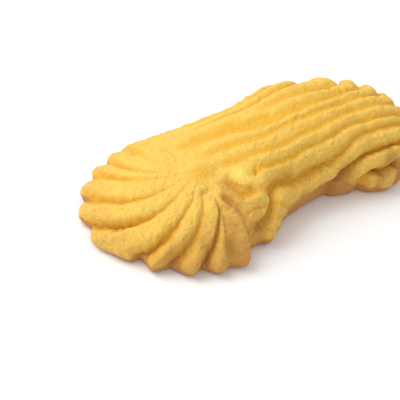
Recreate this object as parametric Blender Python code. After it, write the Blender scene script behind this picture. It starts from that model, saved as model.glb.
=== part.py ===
"""A piped vanilla biscuit: one baked piece with a swirled rosette at its left end and a ridged ribbon
that runs to the right and curls down over the far end.

The surface is a smooth shell, the height of the ridges' crests, with grooves carved into it.
The shell is swept round a spine that joins the rosette's peak to the turn of the far end.
Lengths are in millimetres and angles in degrees, and MM turns the finished points into metres.
"""
import bpy
import numpy as np

MM = 0.001

# The spine, seen from above: x runs along the biscuit, y across it.
PEAK = (-19.5, -2.0)
FAR_TURN = (18.6, 0.5)

# Reach of the crests from the spine: near side by x, far end by angle, back by x, rosette by angle.
NEAR_REACH = (
    (-20, 17.4), (-17.8, 17.9), (-16.2, 16.6), (-14.7, 15.1), (-12.2, 15.2), (-10.4, 15.4), (-8.4, 14.5),
    (-5.8, 12.9), (-2.8, 11.6), (0, 11.2), (2, 11.1), (6, 11.8), (12, 13.5), (18.6, 15.8))
FAR_REACH = ((-50, 17.0), (0, 15.7), (18, 14.9), (42, 14.1), (66, 14.5))
BACK_REACH = ((18.6, 14.8), (13, 16.5), (9, 16.7), (5, 16.2), (1, 15.4), (-4, 15.8), (-8, 16.7), (-14, 18.6),
              (-19, 20.0))
ROSETTE_REACH = ((118, 20.9), (138, 21.3), (157, 21.5), (175, 21.5), (190, 19.6), (215, 18.6), (237, 17.8),
                 (254, 17.6))
ROSETTE_RADIUS = 18.5
FAR_RADIUS = 15.5

# Height of the crests over the spine, and of the widest level, both by x.
CROWN = ((-20, 11.2), (-14, 12.5), (-6, 14.2), (4, 15.3), (12, 15.3), (18.6, 14.2))
WIDEST = ((-40, 2.0), (-14, 2.6), (-4, 4.0), (10, 4.2), (22, 3.4), (40, 3.0))

# How far the base lies in under the widest level, by x.
BASE_INSET = ((-40, 2.0), (-14, 2.4), (-2, 2.4), (7, 2.3), (14, 1.9), (40, 1.8))

# How much the rosette thins towards its rim, by x: a power on the crown's round fall, 1 for a quarter
# ellipse.
THINNING = ((-40, 1.4), (-20, 1.2), (-8, 1.0), (40, 1.0))

# Share of its height over the widest level that a groove may sink by, so that no groove folds over itself.
SINK = 0.85

# The ribbon's grooves: latitude across the ribbon at its start, at the waist and at the far end, depth at the
# waist and at the far end, the x where the groove starts and where it has its full depth. Then, for the ridge
# after it, how far its crest stands off its middle, as a share of half the ridge, and how round it is: 1 has
# straight flanks, more a broader top. Latitude is 0 over the spine and -90 at the near edge.
RIBBON_GROOVES = (
    (-96, -150, -108, 1.1, 1.5, 4, 12, -0.1, 2.2), (-82, -138, -93, 1.8, 2.2, 4, 12, -0.1, 2.2),
    (-69, -125, -80, 2.0, 2.6, 4, 12, 0.5, 2.4), (-56, -96, -53.5, 2.4, 2.2, 2, 9, 0.2, 2.2),
    (-41, -66, -35, 2.3, 0.9, -7, -3.5, 0.45, 2.0), (-27, -40.5, -26.5, 0.58, 0.75, -13, -6, 0.25, 1.5),
    (-11, -25, -14, 0.28, 0.5, -19, -12, 0.15, 1.3), (4.5, -7, -3.6, 0.32, 0.6, -20, -10, 0.0, 1.3),
    (18, 3.7, 7.5, 0.36, 0.7, -21, -5, 0.1, 1.3), (26, 23, 19.5, 0.5, 1.0, -4, 16, 0.1, 1.5),
    (37, 36, 41, 0.9, 1.2, -14, 6, 0.1, 2.0), (50, 50, 55, 1.1, 1.4, -14, 4, 0.1, 2.2),
    (62, 64, 66, 1.3, 1.6, -16, -4, 0.1, 2.2), (80, 84, 82, 1.3, 1.6, -16, -4, 0.1, 2.2),
    (98, 108, 98, 1.3, 1.6, -16, -4, 0.1, 2.2), (115, 130, 115, 1.2, 1.5, -16, -4, 0.1, 2.2))
# Shares of the start's and the far end's latitudes in the grooves' course, by x.
START_SHARE = ((-22, 1.0), (-8, 0.9), (-2, 0.1), (3, 0.0), (40, 0.0))
FAR_SHARE = ((-22, 0.0), (3, 0.0), (7, 0.09), (10, 0.34), (14, 0.78), (17.5, 0.99), (21, 1.0), (34, 1.15))
# Beyond a line across the far corner, x plus NOSE_SLANT times y equal to NOSE_LINE, the grooves bend towards
# the back and deepen, which leaves a blunt nose at the end of each ridge.
NOSE_LINE = 27
NOSE_SLANT = 1.1
NOSE_BEND = 0.5
NOSE_EASING = 1.5
NOSE_DEEPENING = 0.45
NOSE_ROUNDNESS = 2.8

# The petals' grooves: direction from the peak at the rim, halfway out and at the peak, and depth. Then, for
# the petal after it, how far its crest stands off its middle, and how round it is on its outer half and at
# its very tip.
PETAL_GROOVES = (
    (-45, -35, -20, 0.2, 0.3, 2, 1.4), (-61, -52, -45, 0.3, 0.3, 2, 1.4),
    (-76, -74, -58, 1.8, 0.0, 2.6, 1.4), (-96, -95, -72, 0.75, 0.4, 1.8, 1.3),
    (-120.5, -99, -76.5, 2.6, 0.45, 1.8, 1.2), (-142.5, -119, -108, 2.6, 0.15, 1.6, 1.2),
    (-158.5, -137.5, -117, 2.7, 0.2, 5, 4), (-187.5, -159.5, -150, 2.3, 0.1, 4, 2.2),
    (-208.5, -185.3, -166, 1.8, 0.1, 3.5, 1.8), (-230, -213.5, -182, 1.4, 0.1, 2.5, 1.4),
    (-244.5, -227, -199, 1.6, 0.1, 2, 1.4), (-263, -250, -235, 1.0, 0.1, 2, 1.4),
    (-284, -278, -265, 1.6, 0.1, 2, 1.4), (-304, -298, -288, 1.4, 0.1, 2, 1.4),
    (-324, -318, -308, 1.4, 0.1, 2, 1.4), (-345, -337, -328, 1.3, 0.1, 2, 1.4),
    (-366, -357, -345, 1.3, 0.1, 2, 1.4), (-388, -377, -362, 1.2, 0.1, 2, 1.4))
PETAL_RIM = 19.5
HALF_OUT = 12 / 19.5

# How round the petals are near the peak, and a groove's bottom, which is sharp at 1.
PETAL_ROUNDNESS = 3.4
GROOVE_SOFTNESS = 1.35

# Share of its depth that a ribbon's groove has before it starts, and that a petal's has on its inner half.
FAINT_START = 0.12
INNER_SHARE = 0.2

# How far the grooves wander, as a share of a ridge, and over what length; half the width of the join between
# ribbon and rosette, and how much shallower the grooves get as they turn in under the edge.
RIBBON_WANDER = 0.12
PETAL_WANDER = 0.1
WANDER_SIZE = 7.0
JOIN = 1.2
UNDER_EASING = 0.35

# Where the ribbon begins, as x by y.
RIBBON_START = (
    (-24, -15.0), (-17, -15.2), (-15, -16.0), (-13, -15.3), (-10, -14.6), (-6, -14.4), (-3, -15.0),
    (0, -16.6), (5, -18.5), (11, -21), (16, -22.5), (24, -24))

# Single hollows: centre x and y, direction, half length, half width and depth (minus for a swelling).
HOLLOWS = (
    (-12.9, -13.0, -115, 2.5, 1.7, -0.9), (-12.9, -7.1, -35, 2.6, 1.9, -0.35),
    (-12.2, -11.2, 5, 1.7, 0.8, 0.45), (-17.9, -2.4, -30, 2.8, 2.2, -0.8), (-19.4, 11.6, -55, 1.8, 0.9, 0.7),
    (-25.8, -16.2, -115, 1.8, 1.2, 0.85), (-31.2, -12.8, -140, 1.6, 1.2, 0.8),
    (-20.8, -18.0, -95, 1.6, 1.2, 0.8), (-9.5, -8.3, 60, 1.1, 0.3, 0.6), (-20.6, -7.2, 0, 1.2, 0.6, 0.5),
    (10.2, -13.3, 15, 2.2, 1.5, 1.1), (17.6, -15.4, 0, 0.9, 0.8, 0.7), (22.8, -15.4, 20, 1.4, 1.2, 1.1))

# Folds: a few points that the fold runs through, half width on its left and right, depth below the crests
# and the length over which its ends fade.
FOLDS = (
    (((-0.5, -10.9), (-3.4, -11.0), (-5.8, -11.4), (-7.5, -12.2), (-8.5, -13.2),
      (-9.2, -14.2)), 0.6, 1.3, 2.5, 2.0),
    (((-5.8, -11.2), (-7.4, -12.0), (-8.5, -13.2), (-9.3, -14.4), (-10.4, -15.3), (-11.9, -15.8),
      (-13.4, -15.8), (-15.4, -15.3)), 0.8, 0.6, 2.4, 3.4),
    (((-13.9, -15.0), (-14.6, -16.4), (-15.1, -18.0)), 0.6, 0.9, 1.0, 0.8),
    (((-16.3, -6.2), (-15.6, -7.9), (-15.0, -9.4), (-14.3, -10.6), (-13.0, -11.3), (-11.7, -11.4),
      (-10.4, -11.0)), 1.5, 0.4, 0.95, 2.2),
    (((-17.7, -8.2), (-17.2, -10.1), (-16.6, -11.4), (-15.7, -12.6)), 0.5, 1.1, 0.9, 2.0),
    (((-19.9, -10.9), (-18.8, -11.6), (-17.6, -12.8)), 0.4, 0.8, 0.5, 0.8),
    (((-16.0, 7.0), (-12.9, 5.2), (-9.5, 3.6), (-5.5, 2.6), (-1.3, 1.9), (3.0, 1.3)), 1.6, 0.7, 0.6, 3.0))

# Raised edges, as the folds: they add to what lies there.
EDGES = (
    (((5.4, -11.2), (2.6, -11.1), (-0.5, -11.3), (-3.6, -12.1), (-6.0, -13.0), (-7.8, -14.1), (-9.3, -15.3),
      (-10.4, -16.3), (-12.0, -17.1)), 0.8, 0.4, 0.6, 1.5),
    (((-16.2, -4.6), (-15.0, -6.6), (-13.8, -8.6), (-12.4, -9.8), (-11.0, -9.9)), 1.4, 0.3, 0.35, 1.5),
    (((-18.4, -5.3), (-17.4, -6.3), (-16.7, -7.4), (-16.1, -8.9), (-15.6, -10.1), (-15.2, -11.4),
      (-15.0, -12.6)), 0.4, 0.7, 0.4, 1.2),
    (((-14.2, -11.6), (-12.8, -12.3), (-11.2, -12.1), (-10.0, -11.6)), 0.35, 0.8, 0.3, 1.0),
    (((-19.0, -9.6), (-18.4, -11.4), (-17.2, -13.4)), 0.4, 0.4, 0.3, 1.0),
    (((-20.9, -9.2), (-21.0, -11.4), (-21.0, -13.4)), 0.9, 0.9, 0.45, 1.2))

# Mesh: columns along a side, round the far end and round the rosette, rows over the top and in under it, the
# share of faces kept and the height below which a point is part of the flat base.
SIDE_COLUMNS = 130
FAR_COLUMNS = 130
ROSETTE_COLUMNS = 230
TOP_ROWS = 76
UNDER_ROWS = 7
FACES_KEPT = 0.105
FLAT_BELOW = 0.05


def smooth_curve(knots, at):
    """Smooth curve through a few knots, by cubic pieces whose slopes follow the neighbouring chords."""
    knots = np.asarray(knots, dtype=float)
    x, y = knots[:, 0], knots[:, 1]
    step = np.diff(x)
    chord = np.diff(y) / step
    inner = (chord[:-1] * step[1:] + chord[1:] * step[:-1]) / (step[:-1] + step[1:])
    slope = np.concatenate([chord[:1], inner, chord[-1:]])
    at = np.clip(at, x[0], x[-1])
    piece = np.clip(np.searchsorted(x, at, side="right") - 1, 0, len(step) - 1)
    t = (at - x[piece]) / step[piece]
    return ((1 + 2 * t) * (1 - t) ** 2 * y[piece] + t * (1 - t) ** 2 * step[piece] * slope[piece]
            + t * t * (3 - 2 * t) * y[piece + 1] + t * t * (t - 1) * step[piece] * slope[piece + 1])


def smooth_step(low, high, value):
    """0 below low, 1 above high, with a smooth ramp between."""
    t = np.clip((value - low) / (high - low), 0, 1)
    return t * t * (3 - 2 * t)


def lumps(points, size, seed):
    """Smooth random values from -1 to 1: random numbers on a cubic lattice, blended between its nodes."""
    table = np.random.default_rng(seed).uniform(-1, 1, (32, 32, 32))
    place = points / size
    cell = np.floor(place).astype(int)
    t = place - cell
    t = t * t * (3 - 2 * t)
    total = np.zeros(points.shape[:-1])
    for corner in np.ndindex(2, 2, 2):
        weight = np.prod(np.where(corner, t, 1 - t), axis=-1)
        node = (cell + corner) % 32
        total += weight * table[node[..., 0], node[..., 1], node[..., 2]]
    return total


def edge_lengths():
    """Lengths of a straight side, the far turn and the rosette's turn along the edge."""
    return FAR_TURN[0] - PEAK[0], np.pi * FAR_RADIUS, np.pi * ROSETTE_RADIUS


def walk_round():
    """Columns round the biscuit: their spine points, outward angles and distances walked along the edge."""
    peak, turn = np.array(PEAK), np.array(FAR_TURN)
    along = np.arange(SIDE_COLUMNS) / SIDE_COLUMNS
    far_angle = -90 + 180 * np.arange(FAR_COLUMNS) / FAR_COLUMNS
    rosette_angle = 90 + 180 * np.arange(ROSETTE_COLUMNS) / ROSETTE_COLUMNS
    spine = np.concatenate([peak + (turn - peak) * along[:, None], np.tile(turn, (FAR_COLUMNS, 1)),
                            turn + (peak - turn) * along[:, None], np.tile(peak, (ROSETTE_COLUMNS, 1))])
    angle = np.concatenate([np.full(SIDE_COLUMNS, -90.0), far_angle,
                            np.full(SIDE_COLUMNS, 90.0), rosette_angle])
    length, far_arc, rosette_arc = edge_lengths()
    walked = np.concatenate([length * along, length + far_arc * (far_angle + 90) / 180,
                             length + far_arc + length * along,
                             2 * length + far_arc + rosette_arc * (rosette_angle - 90) / 180])
    return spine, angle, walked


def crest_reach(walked):
    """Reach of the crests from the spine along the closed walk round the edge."""
    length, far_arc, rosette_arc = edge_lengths()
    knots = [(x - PEAK[0], reach) for x, reach in NEAR_REACH]
    knots += [(length + far_arc * (angle + 90) / 180, reach) for angle, reach in FAR_REACH]
    knots += [(length + far_arc + FAR_TURN[0] - x, reach) for x, reach in BACK_REACH]
    begun = 2 * length + far_arc
    knots += [(begun + rosette_arc * (angle - 90) / 180, reach) for angle, reach in ROSETTE_REACH]
    whole = begun + rosette_arc
    before = (knots[-1][0] - whole, knots[-1][1])
    after = (knots[0][0] + whole, knots[0][1])
    return smooth_curve([before] + knots + [after], walked)


def ridge_number(value, courses):
    """Count of grooves passed at a value, fractions between them. The grooves' places are a sum of lists,
    each with its weight. Found by halving."""
    count = len(courses[0][1])
    low = np.zeros_like(value)
    high = np.full_like(value, count - 1.0)
    for _ in range(24):
        middle = (low + high) / 2
        place = sum(weight * np.interp(middle, np.arange(count), places) for weight, places in courses)
        low = np.where(place < value, middle, low)
        high = np.where(place < value, high, middle)
    return (low + high) / 2


def groove_share(number, lean, roundness):
    """0 on a crest and 1 in a groove. The crest stands off the middle of its ridge by lean, as a share of
    half the ridge. The flanks fall from it as a power of the way to the groove, and level out there."""
    off = 2 * (number - np.floor(number)) - 1 - lean
    way = np.abs(off / np.where(off < 0, 1 + lean, 1 - lean))
    return 1 - np.clip(1 - way ** roundness, 0, 1) ** GROOVE_SOFTNESS


def ribbon_relief(x, y, wobble):
    """The ribbon's grooves, which keep to latitudes across the ribbon: their depth and their share."""
    table = np.array(RIBBON_GROOVES, dtype=float)
    reach = np.where(y < 0, smooth_curve(NEAR_REACH, x), smooth_curve(BACK_REACH[::-1], x))
    past = x + NOSE_SLANT * y - NOSE_LINE
    bent = NOSE_BEND * (past + np.hypot(past, NOSE_EASING)) / 2
    across = y - bent - np.interp(x, (PEAK[0], FAR_TURN[0]), (PEAK[1], FAR_TURN[1]))
    latitude = np.degrees(np.arcsin(np.clip(across / reach, -1, 1)))
    start, far = smooth_curve(START_SHARE, x), smooth_curve(FAR_SHARE, x)
    courses = ((start, table[:, 0]), (1 - start - far, table[:, 1]), (far, table[:, 2]))
    number = ridge_number(latitude, courses) + RIBBON_WANDER * wobble
    number = np.clip(number, 0, len(table) - 1.001)
    waist, end, begun, full = (np.interp(number, np.arange(len(table)), table[:, k]) for k in (3, 4, 5, 6))
    rising = FAINT_START + (1 - FAINT_START) * smooth_step(begun, full, x)
    rising = rising * (1 + NOSE_DEEPENING * smooth_step(-5, 1, past))
    depth = rising * (waist + (end - waist) * smooth_step(1, 16, x))
    lean, roundness = np.moveaxis(table[np.floor(number).astype(int), 7:], -1, 0)
    roundness = roundness + (NOSE_ROUNDNESS - roundness) * smooth_step(-6, 0, past)
    return depth, groove_share(number, lean, roundness)


def petal_relief(x, y, wobble):
    """The rosette's grooves, which turn as they run out from the peak: their depth and their share."""
    table = np.array(PETAL_GROOVES, dtype=float)
    table = np.concatenate([table, [table[0] - (360, 360, 360, 0, 0, 0, 0)]])
    from_peak = np.hypot(x - PEAK[0], y - PEAK[1])
    direction = np.degrees(np.arctan2(y - PEAK[1], x - PEAK[0]))
    out = np.clip(from_peak / PETAL_RIM, 0, 1.08)
    courses = ((out * (out - HALF_OUT) / (1 - HALF_OUT), -table[:, 0]),
               (out * (1 - out) / (HALF_OUT * (1 - HALF_OUT)), -table[:, 1]),
               ((1 - out) * (HALF_OUT - out) / HALF_OUT, -table[:, 2]))
    last = sum(weight * places[-1] for weight, places in courses)
    direction = direction - 360 * np.ceil((direction + last - 360) / 360)
    number = np.clip(ridge_number(-direction, courses) + PETAL_WANDER * wobble, 0, len(table) - 1.001)
    depth = np.interp(number, np.arange(len(table)), table[:, 3])
    rising = INNER_SHARE * smooth_step(2, 9, from_peak) + (1 - INNER_SHARE) * smooth_step(8, 19, from_peak)
    lean, outer, tip = np.moveaxis(table[np.floor(number).astype(int), 4:], -1, 0)
    roundness = PETAL_ROUNDNESS + (outer - PETAL_ROUNDNESS) * smooth_step(8, 17, from_peak)
    roundness = roundness + (tip - roundness) * smooth_step(17, 20, from_peak)
    return rising * depth, groove_share(-number, lean, roundness)


def hollow_depth(x, y):
    """Depth of the single hollows and swellings: each a bell on an ellipse."""
    depth = np.zeros_like(x)
    for centre_x, centre_y, direction, half_length, half_width, deep in HOLLOWS:
        turn = np.radians(direction)
        along = (x - centre_x) * np.cos(turn) + (y - centre_y) * np.sin(turn)
        aside = (y - centre_y) * np.cos(turn) - (x - centre_x) * np.sin(turn)
        depth += deep * np.exp(-(along / half_length) ** 2 - (aside / half_width) ** 2)
    return depth


def fold_depth(x, y, path, left, right, deep, fade):
    """Depth of one fold: a bell across the nearest piece of its path, wider on one side."""
    path = np.asarray(path, dtype=float)
    passed = np.concatenate([[0], np.cumsum(np.hypot(*np.diff(path, axis=0).T))])
    fine = np.linspace(0, passed[-1], 6 * (len(path) - 1) + 1)
    line = np.stack([smooth_curve(np.stack([passed, path[:, k]], axis=1), fine) for k in (0, 1)], axis=1)
    nearest, side, walked = np.full(x.shape, np.inf), np.zeros(x.shape), np.zeros(x.shape)
    for start, end, begun, ended in zip(line[:-1], line[1:], fine[:-1], fine[1:]):
        ahead = end - start
        t = np.clip(((x - start[0]) * ahead[0] + (y - start[1]) * ahead[1]) / (ahead @ ahead), 0, 1)
        off_x, off_y = x - start[0] - t * ahead[0], y - start[1] - t * ahead[1]
        closer = np.hypot(off_x, off_y) < nearest
        nearest = np.where(closer, np.hypot(off_x, off_y), nearest)
        side = np.where(closer, ahead[0] * off_y - ahead[1] * off_x, side)
        walked = np.where(closer, begun + t * (ended - begun), walked)
    ends = smooth_step(0, fade, walked) * smooth_step(0, fade, passed[-1] - walked)
    return deep * ends * np.exp(-(nearest / np.where(side > 0, left, right)) ** 2)


def carving(x, y):
    """Depth carved out of the shell at a place seen from above."""
    wobble = lumps(np.stack([x, y, np.zeros_like(x)], axis=-1), WANDER_SIZE, 3)
    on_ribbon = smooth_step(-JOIN, JOIN, x - smooth_curve(RIBBON_START, y))
    ribbon, ribbon_share = ribbon_relief(x, y, wobble)
    petal, petal_share = petal_relief(x, y, wobble)
    depth = on_ribbon * ribbon * ribbon_share + (1 - on_ribbon) * petal * petal_share
    for fold in FOLDS:
        depth = np.maximum(depth, fold_depth(x, y, *fold))
    depth = depth + hollow_depth(x, y)
    for edge in EDGES:
        depth = depth - fold_depth(x, y, *edge)
    return depth


def biscuit_points():
    """Grid of points in millimetres, rows by columns. A row goes from the spine out over the crown along a
    rounded quarter, in under the edge, and back to the spine below."""
    spine, angle, walked = walk_round()
    outward = np.stack([np.cos(np.radians(angle)), np.sin(np.radians(angle))], axis=1)
    reach = crest_reach(walked)
    crown = smooth_curve(CROWN, spine[:, 0])
    widest = smooth_curve(WIDEST, spine[:, 0] + 0.8 * outward[:, 0] * reach)
    thinning = smooth_curve(THINNING, spine[:, 0] + outward[:, 0] * reach)
    inset = smooth_curve(BASE_INSET, spine[:, 0] + outward[:, 0] * reach)
    down = np.linspace(0, np.pi / 2, TOP_ROWS)[:, None]
    fall = np.maximum(np.cos(down), 1e-6)
    under = np.linspace(0, np.pi / 2, UNDER_ROWS + 1)[1:, None]
    distance = np.concatenate([np.sin(down) * reach, reach - inset * (1 - np.cos(under))])
    height = np.concatenate([widest + fall ** thinning * (crown - widest), (1 - np.sin(under)) * widest])
    facing = np.concatenate([np.stack([thinning * fall ** (thinning - 1) * np.sin(down) / reach,
                                       fall / (crown - widest)]),
                             np.stack([np.ones((UNDER_ROWS, len(reach))),
                                       np.zeros((UNDER_ROWS, len(reach)))])], axis=1)
    facing = facing / np.hypot(facing[0], facing[1])
    rim = np.minimum(np.arange(TOP_ROWS + UNDER_ROWS), TOP_ROWS - 1)
    place = spine + outward * distance[rim][..., None]
    carved = carving(place[..., 0], place[..., 1])
    carved = carved * np.concatenate([np.ones((TOP_ROWS, 1)), 1 - UNDER_EASING * np.sin(under)])
    distance = distance - facing[0] * carved
    above = height[:TOP_ROWS] - widest
    height[:TOP_ROWS] -= np.minimum(facing[1, :TOP_ROWS] * carved[:TOP_ROWS], SINK * above)
    height[-1] = 0
    points = np.concatenate([spine + outward * distance[..., None], height[..., None]], axis=-1)
    below = np.concatenate([spine, np.zeros((len(spine), 1))], axis=1)
    return np.concatenate([points, below[None]])


def closed_grid(rows):
    """Faces of the grid, whose first and last rows fold shut along the spine."""
    columns = 2 * SIDE_COLUMNS + FAR_COLUMNS + ROSETTE_COLUMNS
    index = np.arange(rows * columns).reshape(rows, columns)
    fold = np.zeros(columns, dtype=int)
    fold[1:SIDE_COLUMNS] = np.arange(1, SIDE_COLUMNS)
    fold[SIDE_COLUMNS:SIDE_COLUMNS + FAR_COLUMNS + 1] = SIDE_COLUMNS
    fold[SIDE_COLUMNS + FAR_COLUMNS + 1:2 * SIDE_COLUMNS + FAR_COLUMNS] = np.arange(SIDE_COLUMNS - 1, 0, -1)
    index[0] = fold
    index[-1] = (rows - 1) * columns + fold
    ring = np.roll(index, -1, axis=1)
    return np.stack([index[:-1], index[1:], ring[1:], ring[:-1]], axis=-1).reshape(-1, 4)


def fine_mesh():
    """Even fine mesh of the biscuit in metres, without the points that the fold leaves unused."""
    points = biscuit_points()
    used, quads = np.unique(closed_grid(len(points)), return_inverse=True)
    vertices = points.reshape(-1, 3)[used] * MM
    faces = [list(dict.fromkeys(face)) for face in quads.reshape(-1, 4).tolist()]
    mesh = bpy.data.meshes.new("fine_biscuit")
    mesh.from_pydata(vertices.tolist(), [], [face for face in faces if len(face) > 2])
    return mesh


def biscuit_mesh():
    """The fine mesh thinned to faces that follow its ridges, its flat base centred on the origin."""
    fine = bpy.data.objects.new("fine_biscuit", fine_mesh())
    bpy.context.scene.collection.objects.link(fine)
    thinning = fine.modifiers.new("thinning", "DECIMATE")
    thinning.ratio = FACES_KEPT
    thinned = fine.evaluated_get(bpy.context.evaluated_depsgraph_get())
    mesh = bpy.data.meshes.new_from_object(thinned)
    bpy.data.objects.remove(fine)
    mesh.name = "biscuit"
    points = np.empty(3 * len(mesh.vertices))
    mesh.vertices.foreach_get("co", points)
    points = points.reshape(-1, 3)
    points[points[:, 2] < FLAT_BELOW * MM, 2] = 0
    points[:, :2] -= (points[:, :2].min(axis=0) + points[:, :2].max(axis=0)) / 2
    mesh.vertices.foreach_set("co", points.ravel())
    mesh.shade_smooth()
    return mesh


def baked_dough():
    """Pale golden crumb of a baked butter biscuit."""
    material = bpy.data.materials.new("baked_dough")
    material.use_nodes = True
    shader = material.node_tree.nodes["Principled BSDF"]
    shader.inputs["Base Color"].default_value = (0.83, 0.50, 0.13, 1)
    shader.inputs["Metallic"].default_value = 0
    shader.inputs["Roughness"].default_value = 0.75
    return material


for old in list(bpy.data.objects):
    bpy.data.objects.remove(old)

mesh = biscuit_mesh()
mesh.materials.append(baked_dough())
biscuit = bpy.data.objects.new("biscuit", mesh)
bpy.context.scene.collection.objects.link(biscuit)
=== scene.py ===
import math

import bpy
import numpy as np
from mathutils import Matrix, Vector


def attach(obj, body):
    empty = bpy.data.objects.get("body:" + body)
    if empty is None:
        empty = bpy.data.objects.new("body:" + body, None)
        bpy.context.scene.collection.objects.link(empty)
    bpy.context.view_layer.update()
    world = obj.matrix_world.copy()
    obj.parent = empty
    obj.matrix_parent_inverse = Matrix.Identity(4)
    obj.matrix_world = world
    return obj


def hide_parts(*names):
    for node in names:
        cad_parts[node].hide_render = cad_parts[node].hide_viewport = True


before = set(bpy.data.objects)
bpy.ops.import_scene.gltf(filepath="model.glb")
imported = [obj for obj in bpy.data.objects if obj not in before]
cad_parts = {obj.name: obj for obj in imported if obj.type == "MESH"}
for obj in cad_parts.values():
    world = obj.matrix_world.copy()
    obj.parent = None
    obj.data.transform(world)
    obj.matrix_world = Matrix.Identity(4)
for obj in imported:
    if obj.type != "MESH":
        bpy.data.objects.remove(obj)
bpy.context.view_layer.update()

bl_info = {
    "name": "Piped Vanilla Biscuit",
    "version": (1, 0, 0),
    "blender": (4, 5, 0),
    "location": "3D View > Sidebar > Biscuit",
    "description": "A piped vanilla biscuit with its crumb, and a plain stage to show it on",
    "category": "Add Mesh",
}

MM = 0.001

# The middle of the biscuit's outline, where the part's origin lies, in the drawing used below.
MIDDLE = (-3.09, -0.79)

# The spine, seen from above: x runs along the biscuit, y across it.
PEAK = (-19.5, -2.0)
FAR_TURN = (18.6, 0.5)

# Reach of the crests from the spine: near side by x, far end by angle, back by x, rosette by angle.
NEAR_REACH = (
    (-20, 17.4), (-17.8, 17.9), (-16.2, 16.6), (-14.7, 15.1), (-12.2, 15.2), (-10.4, 15.4), (-8.4, 14.5),
    (-5.8, 12.9), (-2.8, 11.6), (0, 11.2), (2, 11.1), (6, 11.8), (12, 13.5), (18.6, 15.8))
FAR_REACH = ((-50, 17.0), (0, 15.7), (18, 14.9), (42, 14.1), (66, 14.5))
BACK_REACH = ((18.6, 14.8), (13, 16.5), (9, 16.7), (5, 16.2), (1, 15.4), (-4, 15.8), (-8, 16.7), (-14, 18.6),
              (-19, 20.0))
ROSETTE_REACH = ((118, 20.9), (138, 21.3), (157, 21.5), (175, 21.5), (190, 19.6), (215, 18.6), (237, 17.8),
                 (254, 17.6))
ROSETTE_RADIUS = 18.5
FAR_RADIUS = 15.5

# Height of the crests over the spine, and of the widest level, both by x. The widest level is read at the x
# of a place this share of the way from the spine out to the crests.
CROWN = ((-20, 11.2), (-14, 12.5), (-6, 14.2), (4, 15.3), (12, 15.3), (18.6, 14.2))
WIDEST = ((-40, 2.0), (-14, 2.6), (-4, 4.0), (10, 4.2), (22, 3.4), (40, 3.0))
WIDEST_WAY_OUT = 0.8

# How far the base lies in under the widest level, by x.
BASE_INSET = ((-40, 2.0), (-14, 2.4), (-2, 2.4), (7, 2.3), (14, 1.9), (40, 1.8))

# How much the rosette thins towards its rim, by x: a power on the crown's round fall, 1 for a quarter
# ellipse.
THINNING = ((-40, 1.4), (-20, 1.2), (-8, 1.0), (40, 1.0))

# Height up to which the side is darkened towards the toasted colour, by x: browning along the base, raised at
# the waist as painted shade on the wall under the overhanging ridge.
BROWNING_AND_SHADE = ((-40, 3.6), (-20, 3.6), (-12, 3.6), (-3, 6.0), (3, 7.6), (9, 7.2), (12, 4.4), (14, 3.4),
            (40, 3.6))

# Share of its height over the widest level that a groove may sink by, so that no groove folds over itself.
SINK = 0.85

# The ribbon's grooves: latitude across the ribbon at its start, at the waist and at the far end, depth at the
# waist and at the far end, the x where the groove starts and where it has its full depth. Then, for the ridge
# after it, how far its crest stands off its middle, as a share of half the ridge, and how round it is: 1 has
# straight flanks, more a broader top. Latitude is 0 over the spine and -90 at the near edge.
RIBBON_GROOVES = (
    (-96, -150, -108, 1.1, 1.5, 4, 12, -0.1, 2.2),
    (-82, -138, -93, 1.8, 2.2, 4, 12, -0.1, 2.2),
    (-69, -125, -80, 2.0, 2.6, 4, 12, 0.5, 2.4),
    (-56, -96, -53.5, 2.4, 2.2, 2, 9, 0.2, 2.2),
    (-41, -66, -35, 2.3, 0.9, -7, -3.5, 0.45, 2.0),
    (-27, -40.5, -26.5, 0.58, 0.75, -13, -6, 0.25, 1.5),
    (-11, -25, -14, 0.28, 0.5, -19, -12, 0.15, 1.3),
    (4.5, -7, -3.6, 0.32, 0.6, -20, -10, 0.0, 1.3),
    (18, 3.7, 7.5, 0.36, 0.7, -21, -5, 0.1, 1.3),
    (26, 23, 19.5, 0.5, 1.0, -4, 16, 0.1, 1.5),
    (37, 36, 41, 0.9, 1.2, -14, 6, 0.1, 2.0),
    (50, 50, 55, 1.1, 1.4, -14, 4, 0.1, 2.2),
    (62, 64, 66, 1.3, 1.6, -16, -4, 0.1, 2.2),
    (80, 84, 82, 1.3, 1.6, -16, -4, 0.1, 2.2),
    (98, 108, 98, 1.3, 1.6, -16, -4, 0.1, 2.2),
    (115, 130, 115, 1.2, 1.5, -16, -4, 0.1, 2.2))
# Shares of the start's and the far end's latitudes in the grooves' course, by x, and the x over which a
# groove's depth goes from the waist's to the far end's.
START_SHARE = ((-22, 1.0), (-8, 0.9), (-2, 0.1), (3, 0.0), (40, 0.0))
FAR_SHARE = ((-22, 0.0), (3, 0.0), (7, 0.09), (10, 0.34), (14, 0.78), (17.5, 0.99), (21, 1.0), (34, 1.15))
DEEPENING = (1, 16)
# Beyond a line across the far corner, x plus NOSE_SLANT times y equal to NOSE_LINE, the grooves bend towards
# the back and deepen, which leaves a blunt nose at the end of each ridge. Deepening and rounding set in over
# a range of distances past that line.
NOSE_LINE = 27
NOSE_SLANT = 1.1
NOSE_BEND = 0.5
NOSE_EASING = 1.5
NOSE_DEEPENING = 0.45
NOSE_ROUNDNESS = 2.8
NOSE_DEEPENS = (-5, 1)
NOSE_ROUNDS = (-6, 0)

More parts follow.
